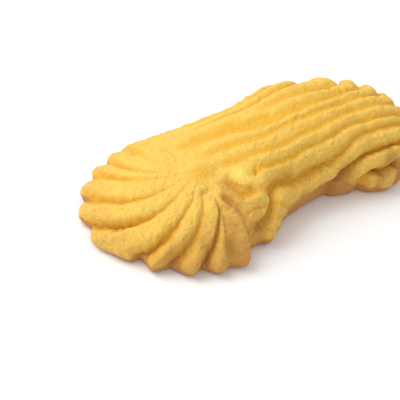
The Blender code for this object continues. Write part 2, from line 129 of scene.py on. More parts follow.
# The petals' grooves: direction from the peak at the rim, halfway out and at the peak, and depth. Then, for
# the petal after it, how far its crest stands off its middle, and how round it is on its outer half and at
# its very tip.
PETAL_GROOVES = (
    (-45, -35, -20, 0.2, 0.3, 2, 1.4),
    (-61, -52, -45, 0.3, 0.3, 2, 1.4),
    (-76, -74, -58, 1.8, 0.0, 2.6, 1.4),
    (-96, -95, -72, 0.75, 0.4, 1.8, 1.3),
    (-120.5, -99, -76.5, 2.6, 0.45, 1.8, 1.2),
    (-142.5, -119, -108, 2.6, 0.15, 1.6, 1.2),
    (-158.5, -137.5, -117, 2.7, 0.2, 5, 4),
    (-187.5, -159.5, -150, 2.3, 0.1, 4, 2.2),
    (-208.5, -185.3, -166, 1.8, 0.1, 3.5, 1.8),
    (-230, -213.5, -182, 1.4, 0.1, 2.5, 1.4),
    (-244.5, -227, -199, 1.6, 0.1, 2, 1.4),
    (-263, -250, -235, 1.0, 0.1, 2, 1.4),
    (-284, -278, -265, 1.6, 0.1, 2, 1.4),
    (-304, -298, -288, 1.4, 0.1, 2, 1.4),
    (-324, -318, -308, 1.4, 0.1, 2, 1.4),
    (-345, -337, -328, 1.3, 0.1, 2, 1.4),
    (-366, -357, -345, 1.3, 0.1, 2, 1.4),
    (-388, -377, -362, 1.2, 0.1, 2, 1.4))
PETAL_RIM = 19.5
HALF_OUT = 12 / PETAL_RIM
# Share of the rim's distance past which a petal's groove keeps its direction.
STRAIGHT_FROM = 1.08

# How round the petals are near the peak, and a groove's bottom, which is sharp at 1.
PETAL_ROUNDNESS = 3.4
GROOVE_SOFTNESS = 1.35

# Distances from the peak over which a petal's groove gets its inner share of depth and then the rest, and
# over which the petal takes its outer roundness and then its tip's.
INNER_SINKING = (2, 9)
OUTER_SINKING = (8, 19)
OUTER_ROUNDING = (8, 17)
TIP_ROUNDING = (17, 20)

# Share of its depth that a ribbon's groove has before it starts, and that a petal's has on its inner half.
FAINT_START = 0.12
INNER_SHARE = 0.2

# How far the grooves wander, as a share of a ridge, and how much a smaller wander adds to it; half the width
# of the join between ribbon and rosette, and how much shallower the grooves get as they turn in under the
# edge.
RIBBON_WANDER = 0.12
PETAL_WANDER = 0.1
SMALL_WANDER_SHARE = 0.45
JOIN = 1.2
UNDER_EASING = 0.35

# How golden a groove is for each millimetre of its depth: on the ribbon, on the near petals, and what is
# added on the back petals, with the y over which it comes in. Then a golden patch about the peak: x and y of
# its middle, direction, half length, half width and how golden it is.
RIBBON_GOLD = 3.0
PETAL_GOLD = 0.75
BACK_PETAL_GOLD = 0.5
BACK_PETALS = (-8, 0)
PEAK_PATCH = (-18.6, -3.2, 0, 2.6, 2.2)
PEAK_GOLD = 0.7

# Where the ribbon begins, as x by y.
RIBBON_START = (
    (-24, -15.0), (-17, -15.2), (-15, -16.0), (-13, -15.3), (-10, -14.6), (-6, -14.4), (-3, -15.0),
    (0, -16.6), (5, -18.5), (11, -21), (16, -22.5), (24, -24))

# Single hollows: centre x and y, direction, half length, half width, depth (minus for a swelling) and how
# much it darkens the crust towards the toasted colour (minus for paler). That colour is painted shade on the
# rows marked so below and a painted highlight on the one paler row. A row without depth is colour alone.
HOLLOWS = (
    (-12.9, -13.0, -115, 2.5, 1.7, -0.9, 0),
    # Painted highlight: this swelling is paled as if it caught the light.
    (-12.9, -7.1, -35, 2.6, 1.9, -0.35, -0.8),
    (-12.2, -11.2, 5, 1.7, 0.8, 0.45, 0),
    # Colour alone: painted shade under the lobe.
    (-13.0, -15.9, 5, 1.8, 0.9, 0, 0.4),
    (-17.9, -2.4, -30, 2.8, 2.2, -0.8, 0),
    (-19.4, 11.6, -55, 1.8, 0.9, 0.7, 0),
    (-25.8, -16.2, -115, 1.8, 1.2, 0.85, 0.3),
    (-31.2, -12.8, -140, 1.6, 1.2, 0.8, 0.3),
    (-20.8, -18.0, -95, 1.6, 1.2, 0.8, 0.3),
    (-9.5, -8.3, 60, 1.1, 0.3, 0.6, 0.3),
    (-20.6, -7.2, 0, 1.2, 0.6, 0.5, 0.3),
    # Partly browning and partly painted shade: the undercut under the near ridge is darkened as well as
    # hollowed.
    (10.2, -13.3, 15, 2.2, 1.5, 1.1, 0.7),
    # Colour alone: painted shade in the two pockets beside the peak.
    (-16.0, -8.4, -55, 2.4, 1.1, 0, 0.75),
    (-17.4, -10.9, -65, 2.2, 1.0, 0, 0.85),
    # Colour alone: painted shade on the near petal that faces away from the lamp.
    (-19.4, -15.4, -95, 3.2, 1.6, 0, 0.3),
    (-13.5, 4.9, -8, 5.5, 1.6, 0, 0.16),
    # Colour alone: painted shade in the groove between two near petals.
    (-24.5, -15.5, -115, 2.5, 1.2, 0, 0.12),
    (20.2, -13.8, 25, 2.0, 1.3, 0, 0.7),
    (16.4, -9.9, 25, 4.0, 1.5, 0, 0.3),
    # Partly browning and partly painted shade: these two notches at the far end's rim are darkened as well as
    # hollowed.
    (17.6, -15.4, 0, 0.9, 0.8, 0.7, 0.6),
    (22.8, -15.4, 20, 1.4, 1.2, 1.1, 0.7))

# Folds: a few points that the fold runs through, half width on its left and right, depth below the crests,
# the length over which its ends fade and how golden it is.
FOLDS = (
    (((-0.5, -10.9), (-3.4, -11.0), (-5.8, -11.4), (-7.5, -12.2), (-8.5, -13.2), (-9.2, -14.2)),
     0.6, 1.3, 2.5, 2.0, 0.2),
    (((-5.8, -11.2), (-7.4, -12.0), (-8.5, -13.2), (-9.3, -14.4), (-10.4, -15.3), (-11.9, -15.8),
      (-13.4, -15.8), (-15.4, -15.3)),
     0.8, 0.6, 2.4, 3.4, 0.2),
    (((-13.9, -15.0), (-14.6, -16.4), (-15.1, -18.0)),
     0.6, 0.9, 1.0, 0.8, 0.2),
    (((-16.3, -6.2), (-15.6, -7.9), (-15.0, -9.4), (-14.3, -10.6), (-13.0, -11.3), (-11.7, -11.4),
      (-10.4, -11.0)),
     1.5, 0.4, 0.95, 2.2, 0.95),
    (((-17.7, -8.2), (-17.2, -10.1), (-16.6, -11.4), (-15.7, -12.6)),
     0.5, 1.1, 0.9, 2.0, 1.1),
    (((-19.9, -10.9), (-18.8, -11.6), (-17.6, -12.8)),
     0.4, 0.8, 0.5, 0.8, 0.6),
    (((-16.0, 7.0), (-12.9, 5.2), (-9.5, 3.6), (-5.5, 2.6), (-1.3, 1.9), (3.0, 1.3)),
     1.8, 0.9, 0.6, 3.0, 2.0),
    (((-19.5, 6.4), (-13.5, 4.9), (-7.8, 4.6), (-3.0, 4.9)),
     2.0, 1.6, 0.12, 3.0, 5.5))

# Raised edges, as the folds: they add to what lies there.
EDGES = (
    (((5.4, -11.2), (2.6, -11.1), (-0.5, -11.3), (-3.6, -12.1), (-6.0, -13.0), (-7.8, -14.1), (-9.3, -15.3),
      (-10.4, -16.3), (-12.0, -17.1)),
     0.8, 0.4, 0.6, 1.5),
    (((-16.2, -4.6), (-15.0, -6.6), (-13.8, -8.6), (-12.4, -9.8), (-11.0, -9.9)),
     1.4, 0.3, 0.35, 1.5),
    (((-18.4, -5.3), (-17.4, -6.3), (-16.7, -7.4), (-16.1, -8.9), (-15.6, -10.1), (-15.2, -11.4),
      (-15.0, -12.6)),
     0.4, 0.7, 0.4, 1.2),
    (((-14.2, -11.6), (-12.8, -12.3), (-11.2, -12.1), (-10.0, -11.6)),
     0.35, 0.8, 0.3, 1.0),
    (((-19.0, -9.6), (-18.4, -11.4), (-17.2, -13.4)),
     0.4, 0.4, 0.3, 1.0),
    (((-20.9, -9.2), (-21.0, -11.4), (-21.0, -13.4)),
     0.9, 0.9, 0.45, 1.2))

# Patterns of random lumps, each with its size and its seed: the grooves' wander, broad and small, the crumb's
# dents, grain, clumps and pits, the browning's waver and the crumb's coarseness.
WANDER = (7.0, 3)
SMALL_WANDER = (0.9, 4)
DENTS = (3.6, 11)
GRAIN = (0.55, 12)
CLUMPS = (1.2, 13)
PITS = (0.6, 14)
WAVER = (3.0, 21)
COARSENESS = (1.6, 31)

# The crumb in the mesh: the dents' depth and, as shares of the crumb's height, the grain, the clumps in the
# grooves and what they gain on the open crests, and the pits, which open as their pattern rises over a range.
DENT_DEPTH = 0.10
GRAIN_SHARE = 0.8
CLUMP_SHARE = 0.5
OPEN_CLUMP_SHARE = 1.2
PIT_SHARE = 1.2
PITS_OPEN = (0.45, 0.7)

# How coarse the crumb is on the rosette, where the near side's wall is 1, and how much it varies. It gets
# coarser towards the wall by share of the reach, and towards the rosette by x.
ROSETTE_COARSENESS = 0.2
COARSENESS_VARIES = 0.25
WALL_BAND = (0.45, 0.85)
ON_ROSETTE = (-8, -16)

# How much the crust is darkened towards the toasted colour: browned at the petals' rounded tips; partly
# browned and partly painted shade in the grooves between these; painted shade on the near petals, which face
# away from the lamp; partly browned and partly painted shade on the ribbon's near edge; browned at its noses.
# The browning along the base wavers by some millimetres in height and is lower on the petals' crests, by a
# share.
TIP_TOAST = 0.35
TIP_GROOVE_TOAST_AND_SHADE = 0.7
NEAR_PETAL_PAINTED_SHADE = 0.33
EDGE_TOAST_AND_SHADE = 0.2
NOSE_TOAST = 0.5
WAVER_HEIGHT = 0.7
PETAL_CREST_SPARED = 0.45

# Stretches over which the browning and painted shade come in, as smooth steps. By height, as a share of the
# height up to which the side is darkened: the base. By distance from the peak: the tips and the grooves
# between
# them. By how deep in a groove. By y: the near half's grooves and the near petals. By share of the reach: the
# ribbon's near edge. By distance from the far turn: the noses. By x: the petals' crests, the start and the
# end of the near edge, and the noses.
BASE_BAND = (0.45, 1.05)
TIPS_OUT = (14.5, 18.5)
TIP_GROOVES_OUT = (12, 18)
IN_GROOVE = (0.55, 0.95)
NEAR_HALF = (6, -6)
NEAR_PETALS = (-7, -15)
EDGE_BAND = (0.82, 1.0)
NOSES_OUT = (13, 17)
ON_PETALS = (-8, -14)
EDGE_STARTS = (-15, -10)
EDGE_ENDS = (22, 12)
ON_NOSES = (14, 26)
ROSETTE_ENDS = -12

# Patterns in the crust's colour, with their scales in cells to the metre.
PATCHES = {"Scale": 260.0, "Detail": 3.0}
CRUMB = {"Scale": 1900.0, "Detail": 3.0, "Roughness": 0.7}
GRIT = {"Scale": 4200.0, "Detail": 2.0, "Roughness": 0.7}
CELLS = {"Scale": 2100.0}
SPECKS = {"Scale": 420.0}

# How strongly each layer of the crust's colour shows. The pits, which are painted shade, and the flakes show
# more where the crumb is coarse, and the browning and painted shade where the patches are high.
CRESTS_SHOW = 0.8
PATCHES_SHOW = 0.35
DARK_GRIT_SHOWS = 0.45
PALE_GRIT_SHOWS = 0.25
PIT_SHADE_SHOWS = 0.06
FLAKES_SHOW = 0.12
COARSE_CRUMB_SHOWS = 0.7
TOAST_AND_SHADE_SHOW = 0.7
TOAST_AND_SHADE_PATCHES = 0.6
SPECKS_SHOW = 0.5

# Roughness of the crust and how much it varies; in the bump, the weights of crumb, grit and cells, what the
# height is multiplied by, how much coarse crumb adds to that, and the bump's own strength and distance.
ROUGHNESS = 0.72
ROUGHNESS_VARIES = 0.16
CRUMB_BUMP = 0.7
GRIT_BUMP = 0.35
CELL_BUMP = 0.2
BUMP_HEIGHT = 0.8
COARSE_BUMP = 0.5
BUMP = {"Strength": 0.8, "Distance": 0.0006}

# A ridge's number stays this much under the number of rows in its table, so that it has a row of its own. It
# is found by halving the table this often. A fold's path has this many straight pieces between two of its
# points. The lattice of random numbers repeats after this many nodes.
UNDER_COUNT = 1.001
HALVINGS = 24
FOLD_PIECES = 6
LATTICE = 32

# Mesh: columns along a side, round the far end and round the rosette, rows over the top and in under it.
SIDE_COLUMNS = 150
FAR_COLUMNS = 180
ROSETTE_COLUMNS = 340
TOP_ROWS = 100
UNDER_ROWS = 14

# The photograph's view: turn, height and roll in degrees, distance and lens in millimetres, and the point
# that the camera looks at, in the drawing.
VIEW_TURN = -43
VIEW_HEIGHT = 40
VIEW_ROLL = 10
VIEW_DISTANCE = 350
VIEW_LENS = 157.5
SENSOR = 36
AIM = (-11.1, 5.0, -4.7)

# The lamp: its direction in the view's rightward, upward and backward axes, its distance and its size in
# metres. The floor's half width, in metres, and its roughness.
KEY_DIRECTION = (-0.6, 0.8, 0.55)
KEY_DISTANCE = 0.6
KEY_SIZE = 0.45
FLOOR_HALF = 2.0
FLOOR_ROUGHNESS = 0.8


class BiscuitSettings(bpy.types.PropertyGroup):
    """Sizes and colours of the biscuit."""
    groove_depth: bpy.props.FloatProperty(
        name="Groove Depth", description="Depth of all grooves, as a share of the piped depth", default=1.0,
        min=0.0, max=1.5, subtype="FACTOR")
    crumb_height: bpy.props.FloatProperty(
        name="Crumb Height", description="Height of the crumb's grain", default=0.00012, min=0.0, max=0.0003,
        unit="LENGTH", precision=5)
    crust: bpy.props.FloatVectorProperty(
        name="Crust", description="Colour of the open flanks", subtype="COLOR", size=3, min=0.0, max=1.0,
        default=(0.88, 0.54, 0.085))
    crest: bpy.props.FloatVectorProperty(
        name="Crest", description="Colour along the crumbly crests", subtype="COLOR", size=3, min=0.0,
        max=1.0, default=(0.92, 0.595, 0.108))
    # Also used for the painted highlight on the swelling beside the peak.
    pale_and_painted_highlight: bpy.props.FloatVectorProperty(
        name="Pale", description="Colour of the palest patches", subtype="COLOR", size=3, min=0.0, max=1.0,
        default=(1.0, 0.74, 0.16))
    # Partly the crust's own colour deep in the grooves and partly painted warm light bounced about inside
    # them.
    groove: bpy.props.FloatVectorProperty(
        name="Groove", description="Colour deep in the grooves", subtype="COLOR", size=3, min=0.0, max=1.0,
        default=(0.82, 0.43, 0.026))
    # Also used for painted shade: the near petals, the near wall, deep grooves, pockets and the crumb's pits
    # are darkened towards it.
    toasted_and_painted_shade: bpy.props.FloatVectorProperty(
        name="Toasted", description="Colour of the tips and the edge along the base", subtype="COLOR", size=3,
        min=0.0, max=1.0, default=(0.57, 0.25, 0.05))


class StageSettings(bpy.types.PropertyGroup):
    """Floor and light of the stage."""
    floor_colour: bpy.props.FloatVectorProperty(
        name="Floor", description="Colour of the floor", subtype="COLOR", size=3, min=0.0, max=1.0,
        default=(0.94, 0.94, 0.94))
    sky_light: bpy.props.FloatProperty(
        name="Sky Light", description="Strength of the even light from all round", default=0.74, min=0.0)
    key_light: bpy.props.FloatProperty(
        name="Key Light", description="Power of the large soft lamp", default=2.45, min=0.0, unit="POWER")


class Value:
    """A socket in a shader's node tree; arithmetic on it adds Math nodes."""

    def __init__(self, tree, socket):
        self.tree = tree
        self.socket = socket

    @classmethod
    def of_node(cls, tree, kind, settings=None, inputs=None, output=0):
        """Output of a new node of any kind. Its settings are set first, then its sockets, by name or number,
        to values or links."""
        node = tree.nodes.new(kind)
        for name, setting in (settings or {}).items():
            setattr(node, name, setting)
        for key, value in (inputs or {}).items():
            feed(tree, node.inputs[key], value)
        return cls(tree, node.outputs[output])

    def maths(self, operation, first, second):
        """One Math node on two values."""
        return self.of_node(self.tree, "ShaderNodeMath", {"operation": operation}, {0: first, 1: second})

    def __add__(self, other):
        return self.maths("ADD", self, other)

    __radd__ = __add__

    def __mul__(self, other):
        return self.maths("MULTIPLY", self, other)

    __rmul__ = __mul__

    def __sub__(self, other):
        return self.maths("SUBTRACT", self, other)

    def __rsub__(self, other):
        return self.maths("SUBTRACT", other, self)

    def ramp(self, low, high):
        """0 below low, 1 above high, smooth between."""
        return self.of_node(self.tree, "ShaderNodeMapRange", {"interpolation_type": "SMOOTHSTEP"},
                            {"Value": self, "From Min": low, "From Max": high})

    def mix(self, first, second):
        """Colour that goes from the first to the second as this value goes from 0 to 1. The Mix node's colour
        sockets are its inputs 6 and 7 and its output 2."""
        return self.of_node(self.tree, "ShaderNodeMix", {"data_type": "RGBA"}, {0: self, 6: first, 7: second},
                            output=2)


def feed(tree, socket, value):
    """Links a wrapped socket to an input, or sets the input's own value."""
    if isinstance(value, Value):
        tree.links.new(value.socket, socket)
    elif hasattr(socket.default_value, "__len__") and len(socket.default_value) == 4:
        socket.default_value = (*value[:3], 1.0)
    else:
        socket.default_value = value


def smooth_curve(knots, at):
    """Smooth curve through a few knots, by cubic pieces whose slopes follow the neighbouring chords."""
    knots = np.asarray(knots, dtype=float)
    x, y = knots[:, 0], knots[:, 1]
    step = np.diff(x)
    chord = np.diff(y) / step
    inner = (chord[:-1] * step[1:] + chord[1:] * step[:-1]) / (step[:-1] + step[1:])
    slope = np.concatenate([chord[:1], inner, chord[-1:]])
    at = np.clip(at, x[0], x[-1])
    piece = np.clip(np.searchsorted(x, at, side="right") - 1, 0, len(step) - 1)
    t = (at - x[piece]) / step[piece]
    return ((1 + 2 * t) * (1 - t) ** 2 * y[piece] + t * (1 - t) ** 2 * step[piece] * slope[piece]
            + t * t * (3 - 2 * t) * y[piece + 1] + t * t * (t - 1) * step[piece] * slope[piece + 1])


def smooth_step(low, high, value):
    """0 below low and 1 above high. Between them it is three times the square of the way less twice its
    cube."""
    t = np.clip((value - low) / (high - low), 0, 1)
    return t * t * (3 - 2 * t)


def bell(x, y, centre_x, centre_y, direction, half_length, half_width):
    """1 at a centre, and round it the exponential of minus the squared distance, counted in half lengths
    along a direction and in half widths across it."""
    turn = np.radians(direction)
    along = (x - centre_x) * np.cos(turn) + (y - centre_y) * np.sin(turn)
    aside = (y - centre_y) * np.cos(turn) - (x - centre_x) * np.sin(turn)
    return np.exp(-(along / half_length) ** 2 - (aside / half_width) ** 2)


def lumps(points, size, seed):
    """Smooth random values from -1 to 1: random numbers on a cubic lattice, blended between its nodes."""
    table = np.random.default_rng(seed).uniform(-1, 1, (LATTICE, LATTICE, LATTICE))
    place = points / size
    cell = np.floor(place).astype(int)
    t = place - cell
    t = t * t * (3 - 2 * t)
    total = np.zeros(points.shape[:-1])
    for corner in np.ndindex(2, 2, 2):
        weight = np.prod(np.where(corner, t, 1 - t), axis=-1)
        node = (cell + corner) % LATTICE
        total += weight * table[node[..., 0], node[..., 1], node[..., 2]]
    return total


def edge_lengths():
    """Lengths of a straight side, the far turn and the rosette's turn along the edge."""
    return FAR_TURN[0] - PEAK[0], np.pi * FAR_RADIUS, np.pi * ROSETTE_RADIUS


def walk_round():
    """Columns round the biscuit: their spine points, outward angles and distances walked along the edge."""
    peak, turn = np.array(PEAK), np.array(FAR_TURN)
    along = np.arange(SIDE_COLUMNS) / SIDE_COLUMNS
    far_angle = -90 + 180 * np.arange(FAR_COLUMNS) / FAR_COLUMNS
    rosette_angle = 90 + 180 * np.arange(ROSETTE_COLUMNS) / ROSETTE_COLUMNS
    spine = np.concatenate([peak + (turn - peak) * along[:, None], np.tile(turn, (FAR_COLUMNS, 1)),
                            turn + (peak - turn) * along[:, None], np.tile(peak, (ROSETTE_COLUMNS, 1))])
    angle = np.concatenate([np.full(SIDE_COLUMNS, -90.0), far_angle,
                            np.full(SIDE_COLUMNS, 90.0), rosette_angle])
    length, far_arc, rosette_arc = edge_lengths()
    walked = np.concatenate([length * along, length + far_arc * (far_angle + 90) / 180,
                             length + far_arc + length * along,
                             2 * length + far_arc + rosette_arc * (rosette_angle - 90) / 180])
    return spine, angle, walked


def crest_reach(walked):
    """Reach of the crests from the spine, by the distance walked round the edge: one smooth curve through the
    knots of the four sides, with its last knot repeated before the first and its first after the last."""
    length, far_arc, rosette_arc = edge_lengths()
    knots = [(x - PEAK[0], reach) for x, reach in NEAR_REACH]
    knots += [(length + far_arc * (angle + 90) / 180, reach) for angle, reach in FAR_REACH]
    knots += [(length + far_arc + FAR_TURN[0] - x, reach) for x, reach in BACK_REACH]
    begun = 2 * length + far_arc
    knots += [(begun + rosette_arc * (angle - 90) / 180, reach) for angle, reach in ROSETTE_REACH]
    whole = begun + rosette_arc
    before = (knots[-1][0] - whole, knots[-1][1])
    after = (knots[0][0] + whole, knots[0][1])
    return smooth_curve([before] + knots + [after], walked)


def ridge_number(value, courses):
    """Count of grooves passed at a value, fractions between them. The grooves' places are a sum of lists,
    each with its weight. Found by halving."""
    count = len(courses[0][1])
    low = np.zeros_like(value)
    high = np.full_like(value, count - 1.0)
    for _ in range(HALVINGS):
        middle = (low + high) / 2
        place = sum(weight * np.interp(middle, np.arange(count), places) for weight, places in courses)
        low = np.where(place < value, middle, low)
        high = np.where(place < value, high, middle)
    return (low + high) / 2


def groove_share(number, lean, roundness):
    """0 on a crest and 1 in a groove. The crest stands off the middle of its ridge by lean, as a share of
    half the ridge. The flanks fall from it as a power of the way to the groove, and level out there."""
    off = 2 * (number - np.floor(number)) - 1 - lean
    way = np.abs(off / np.where(off < 0, 1 + lean, 1 - lean))
    return 1 - np.clip(1 - way ** roundness, 0, 1) ** GROOVE_SOFTNESS


def ribbon_relief(x, y, wobble):
    """The ribbon's grooves: their depth and their share. A groove keeps to a latitude, the angle whose sine
    is the distance across from the spine over the crests' reach. Its latitude goes from the start's to the
    waist's to the far end's with x, and its depth from the waist's to the far end's. Past the nose line it
    bends by a share of the distance, eased in by a hyperbola."""
    table = np.array(RIBBON_GROOVES, dtype=float)
    reach = np.where(y < 0, smooth_curve(NEAR_REACH, x), smooth_curve(BACK_REACH[::-1], x))
    past = x + NOSE_SLANT * y - NOSE_LINE
    bent = NOSE_BEND * (past + np.hypot(past, NOSE_EASING)) / 2
    across = y - bent - np.interp(x, (PEAK[0], FAR_TURN[0]), (PEAK[1], FAR_TURN[1]))
    latitude = np.degrees(np.arcsin(np.clip(across / reach, -1, 1)))
    start, far = smooth_curve(START_SHARE, x), smooth_curve(FAR_SHARE, x)
    courses = ((start, table[:, 0]), (1 - start - far, table[:, 1]), (far, table[:, 2]))
    number = ridge_number(latitude, courses) + RIBBON_WANDER * wobble
    number = np.clip(number, 0, len(table) - UNDER_COUNT)
    waist, end, begun, full = (np.interp(number, np.arange(len(table)), table[:, k]) for k in (3, 4, 5, 6))
    rising = FAINT_START + (1 - FAINT_START) * smooth_step(begun, full, x)
    rising = rising * (1 + NOSE_DEEPENING * smooth_step(*NOSE_DEEPENS, past))
    depth = rising * (waist + (end - waist) * smooth_step(*DEEPENING, x))
    lean, roundness = np.moveaxis(table[np.floor(number).astype(int), 7:], -1, 0)
    roundness = roundness + (NOSE_ROUNDNESS - roundness) * smooth_step(*NOSE_ROUNDS, past)
    return depth, groove_share(number, lean, roundness)


def petal_relief(x, y, wobble):
    """The rosette's grooves: their depth and their share. A groove's direction from the peak is a parabola of
    the distance, through its directions at the peak, halfway out and at the rim, so that the groove turns as
    it runs out. Its depth grows with the distance."""
    table = np.array(PETAL_GROOVES, dtype=float)
    table = np.concatenate([table, [table[0] - (360, 360, 360, 0, 0, 0, 0)]])
    from_peak = np.hypot(x - PEAK[0], y - PEAK[1])
    direction = np.degrees(np.arctan2(y - PEAK[1], x - PEAK[0]))
    out = np.clip(from_peak / PETAL_RIM, 0, STRAIGHT_FROM)
    courses = ((out * (out - HALF_OUT) / (1 - HALF_OUT), -table[:, 0]),
               (out * (1 - out) / (HALF_OUT * (1 - HALF_OUT)), -table[:, 1]),
               ((1 - out) * (HALF_OUT - out) / HALF_OUT, -table[:, 2]))
    last = sum(weight * places[-1] for weight, places in courses)
    direction = direction - 360 * np.ceil((direction + last - 360) / 360)
    number = ridge_number(-direction, courses) + PETAL_WANDER * wobble
    number = np.clip(number, 0, len(table) - UNDER_COUNT)
    depth = np.interp(number, np.arange(len(table)), table[:, 3])
    rising = (INNER_SHARE * smooth_step(*INNER_SINKING, from_peak)
              + (1 - INNER_SHARE) * smooth_step(*OUTER_SINKING, from_peak))
    lean, outer, tip = np.moveaxis(table[np.floor(number).astype(int), 4:], -1, 0)
    roundness = PETAL_ROUNDNESS + (outer - PETAL_ROUNDNESS) * smooth_step(*OUTER_ROUNDING, from_peak)
    roundness = roundness + (tip - roundness) * smooth_step(*TIP_ROUNDING, from_peak)
    return rising * depth, groove_share(-number, lean, roundness)


def hollow_depth(x, y):
    """Depth of the single hollows and swellings, and how much they darken or pale the crust, in part as
    painted
    shade and a painted highlight: sums of their bells, each times its own.
    """
    depth, hollow_browning_and_painted_light = np.zeros_like(x), np.zeros_like(x)
    for *place, deep, browning_and_painted_light in HOLLOWS:
        share = bell(x, y, *place)
        depth += deep * share
        hollow_browning_and_painted_light += browning_and_painted_light * share
    return depth, hollow_browning_and_painted_light


def fold_depth(x, y, path, left, right, deep, fade):
    """Depth of one fold: a bell of the distance to its path, wider on one side, which fades at both ends. The
    path is a smooth curve through its points, taken as short straight pieces."""
    path = np.asarray(path, dtype=float)
    passed = np.concatenate([[0], np.cumsum(np.hypot(*np.diff(path, axis=0).T))])
    fine = np.linspace(0, passed[-1], FOLD_PIECES * (len(path) - 1) + 1)
    line = np.stack([smooth_curve(np.stack([passed, path[:, k]], axis=1), fine) for k in (0, 1)], axis=1)
    nearest, side, walked = np.full(x.shape, np.inf), np.zeros(x.shape), np.zeros(x.shape)
    for start, end, begun, ended in zip(line[:-1], line[1:], fine[:-1], fine[1:]):
        ahead = end - start
        t = np.clip(((x - start[0]) * ahead[0] + (y - start[1]) * ahead[1]) / (ahead @ ahead), 0, 1)
        off_x, off_y = x - start[0] - t * ahead[0], y - start[1] - t * ahead[1]
        closer = np.hypot(off_x, off_y) < nearest
        nearest = np.where(closer, np.hypot(off_x, off_y), nearest)
        side = np.where(closer, ahead[0] * off_y - ahead[1] * off_x, side)
        walked = np.where(closer, begun + t * (ended - begun), walked)
    ends = smooth_step(0, fade, walked) * smooth_step(0, fade, passed[-1] - walked)
    return deep * ends * np.exp(-(nearest / np.where(side > 0, left, right)) ** 2)


def carving(x, y, groove_depth):
    """Depth carved out of the shell at a place seen from above, how deep it lies in a groove, 0 to 1, and how
    much the single hollows darken or pale it, in part as painted shade and a painted highlight. The depth is
    the ribbon's or the petals' groove, blended at the join, or a fold where that is deeper, plus the hollows
    and less the raised edges."""
    plan = np.stack([x, y, np.zeros_like(x)], axis=-1)
    wobble = lumps(plan, *WANDER) + SMALL_WANDER_SHARE * lumps(plan, *SMALL_WANDER)
    on_ribbon = smooth_step(-JOIN, JOIN, x - smooth_curve(RIBBON_START, y))
    ribbon, ribbon_share = ribbon_relief(x, y, wobble)
    petal, petal_share = petal_relief(x, y, wobble)
    depth = groove_depth * (on_ribbon * ribbon * ribbon_share + (1 - on_ribbon) * petal * petal_share)
    petal_gold = PETAL_GOLD + BACK_PETAL_GOLD * smooth_step(*BACK_PETALS, y)
    groove = (on_ribbon * np.minimum(RIBBON_GOLD * ribbon, 1) * ribbon_share
              + (1 - on_ribbon) * np.minimum(petal_gold * petal, 1) * petal_share)
    for *fold, golden in FOLDS:
        carved = fold_depth(x, y, *fold)
        depth = np.maximum(depth, carved)
        groove = np.maximum(groove, np.minimum(golden * carved, 1))
    groove = np.maximum(groove, PEAK_GOLD * bell(x, y, *PEAK_PATCH))
    hollowed, hollow_browning_and_painted_light = hollow_depth(x, y)
    depth = depth + hollowed
    for edge in EDGES:
        depth = depth - fold_depth(x, y, *edge)
    return depth, groove, hollow_browning_and_painted_light


def crumb_depth(shell, open_share, crumb_height):
    """Depth of the crumb in the shell: broad dents, fine grain, clumps that grow with the cube of how open
    the place is, and pits that grow with its square."""
    return DENT_DEPTH * lumps(shell, *DENTS) + crumb_height * (
        GRAIN_SHARE * lumps(shell, *GRAIN)
        + (CLUMP_SHARE + OPEN_CLUMP_SHARE * open_share ** 3) * lumps(shell, *CLUMPS)
        + PIT_SHARE * open_share ** 2 * smooth_step(*PITS_OPEN, lumps(shell, *PITS)))


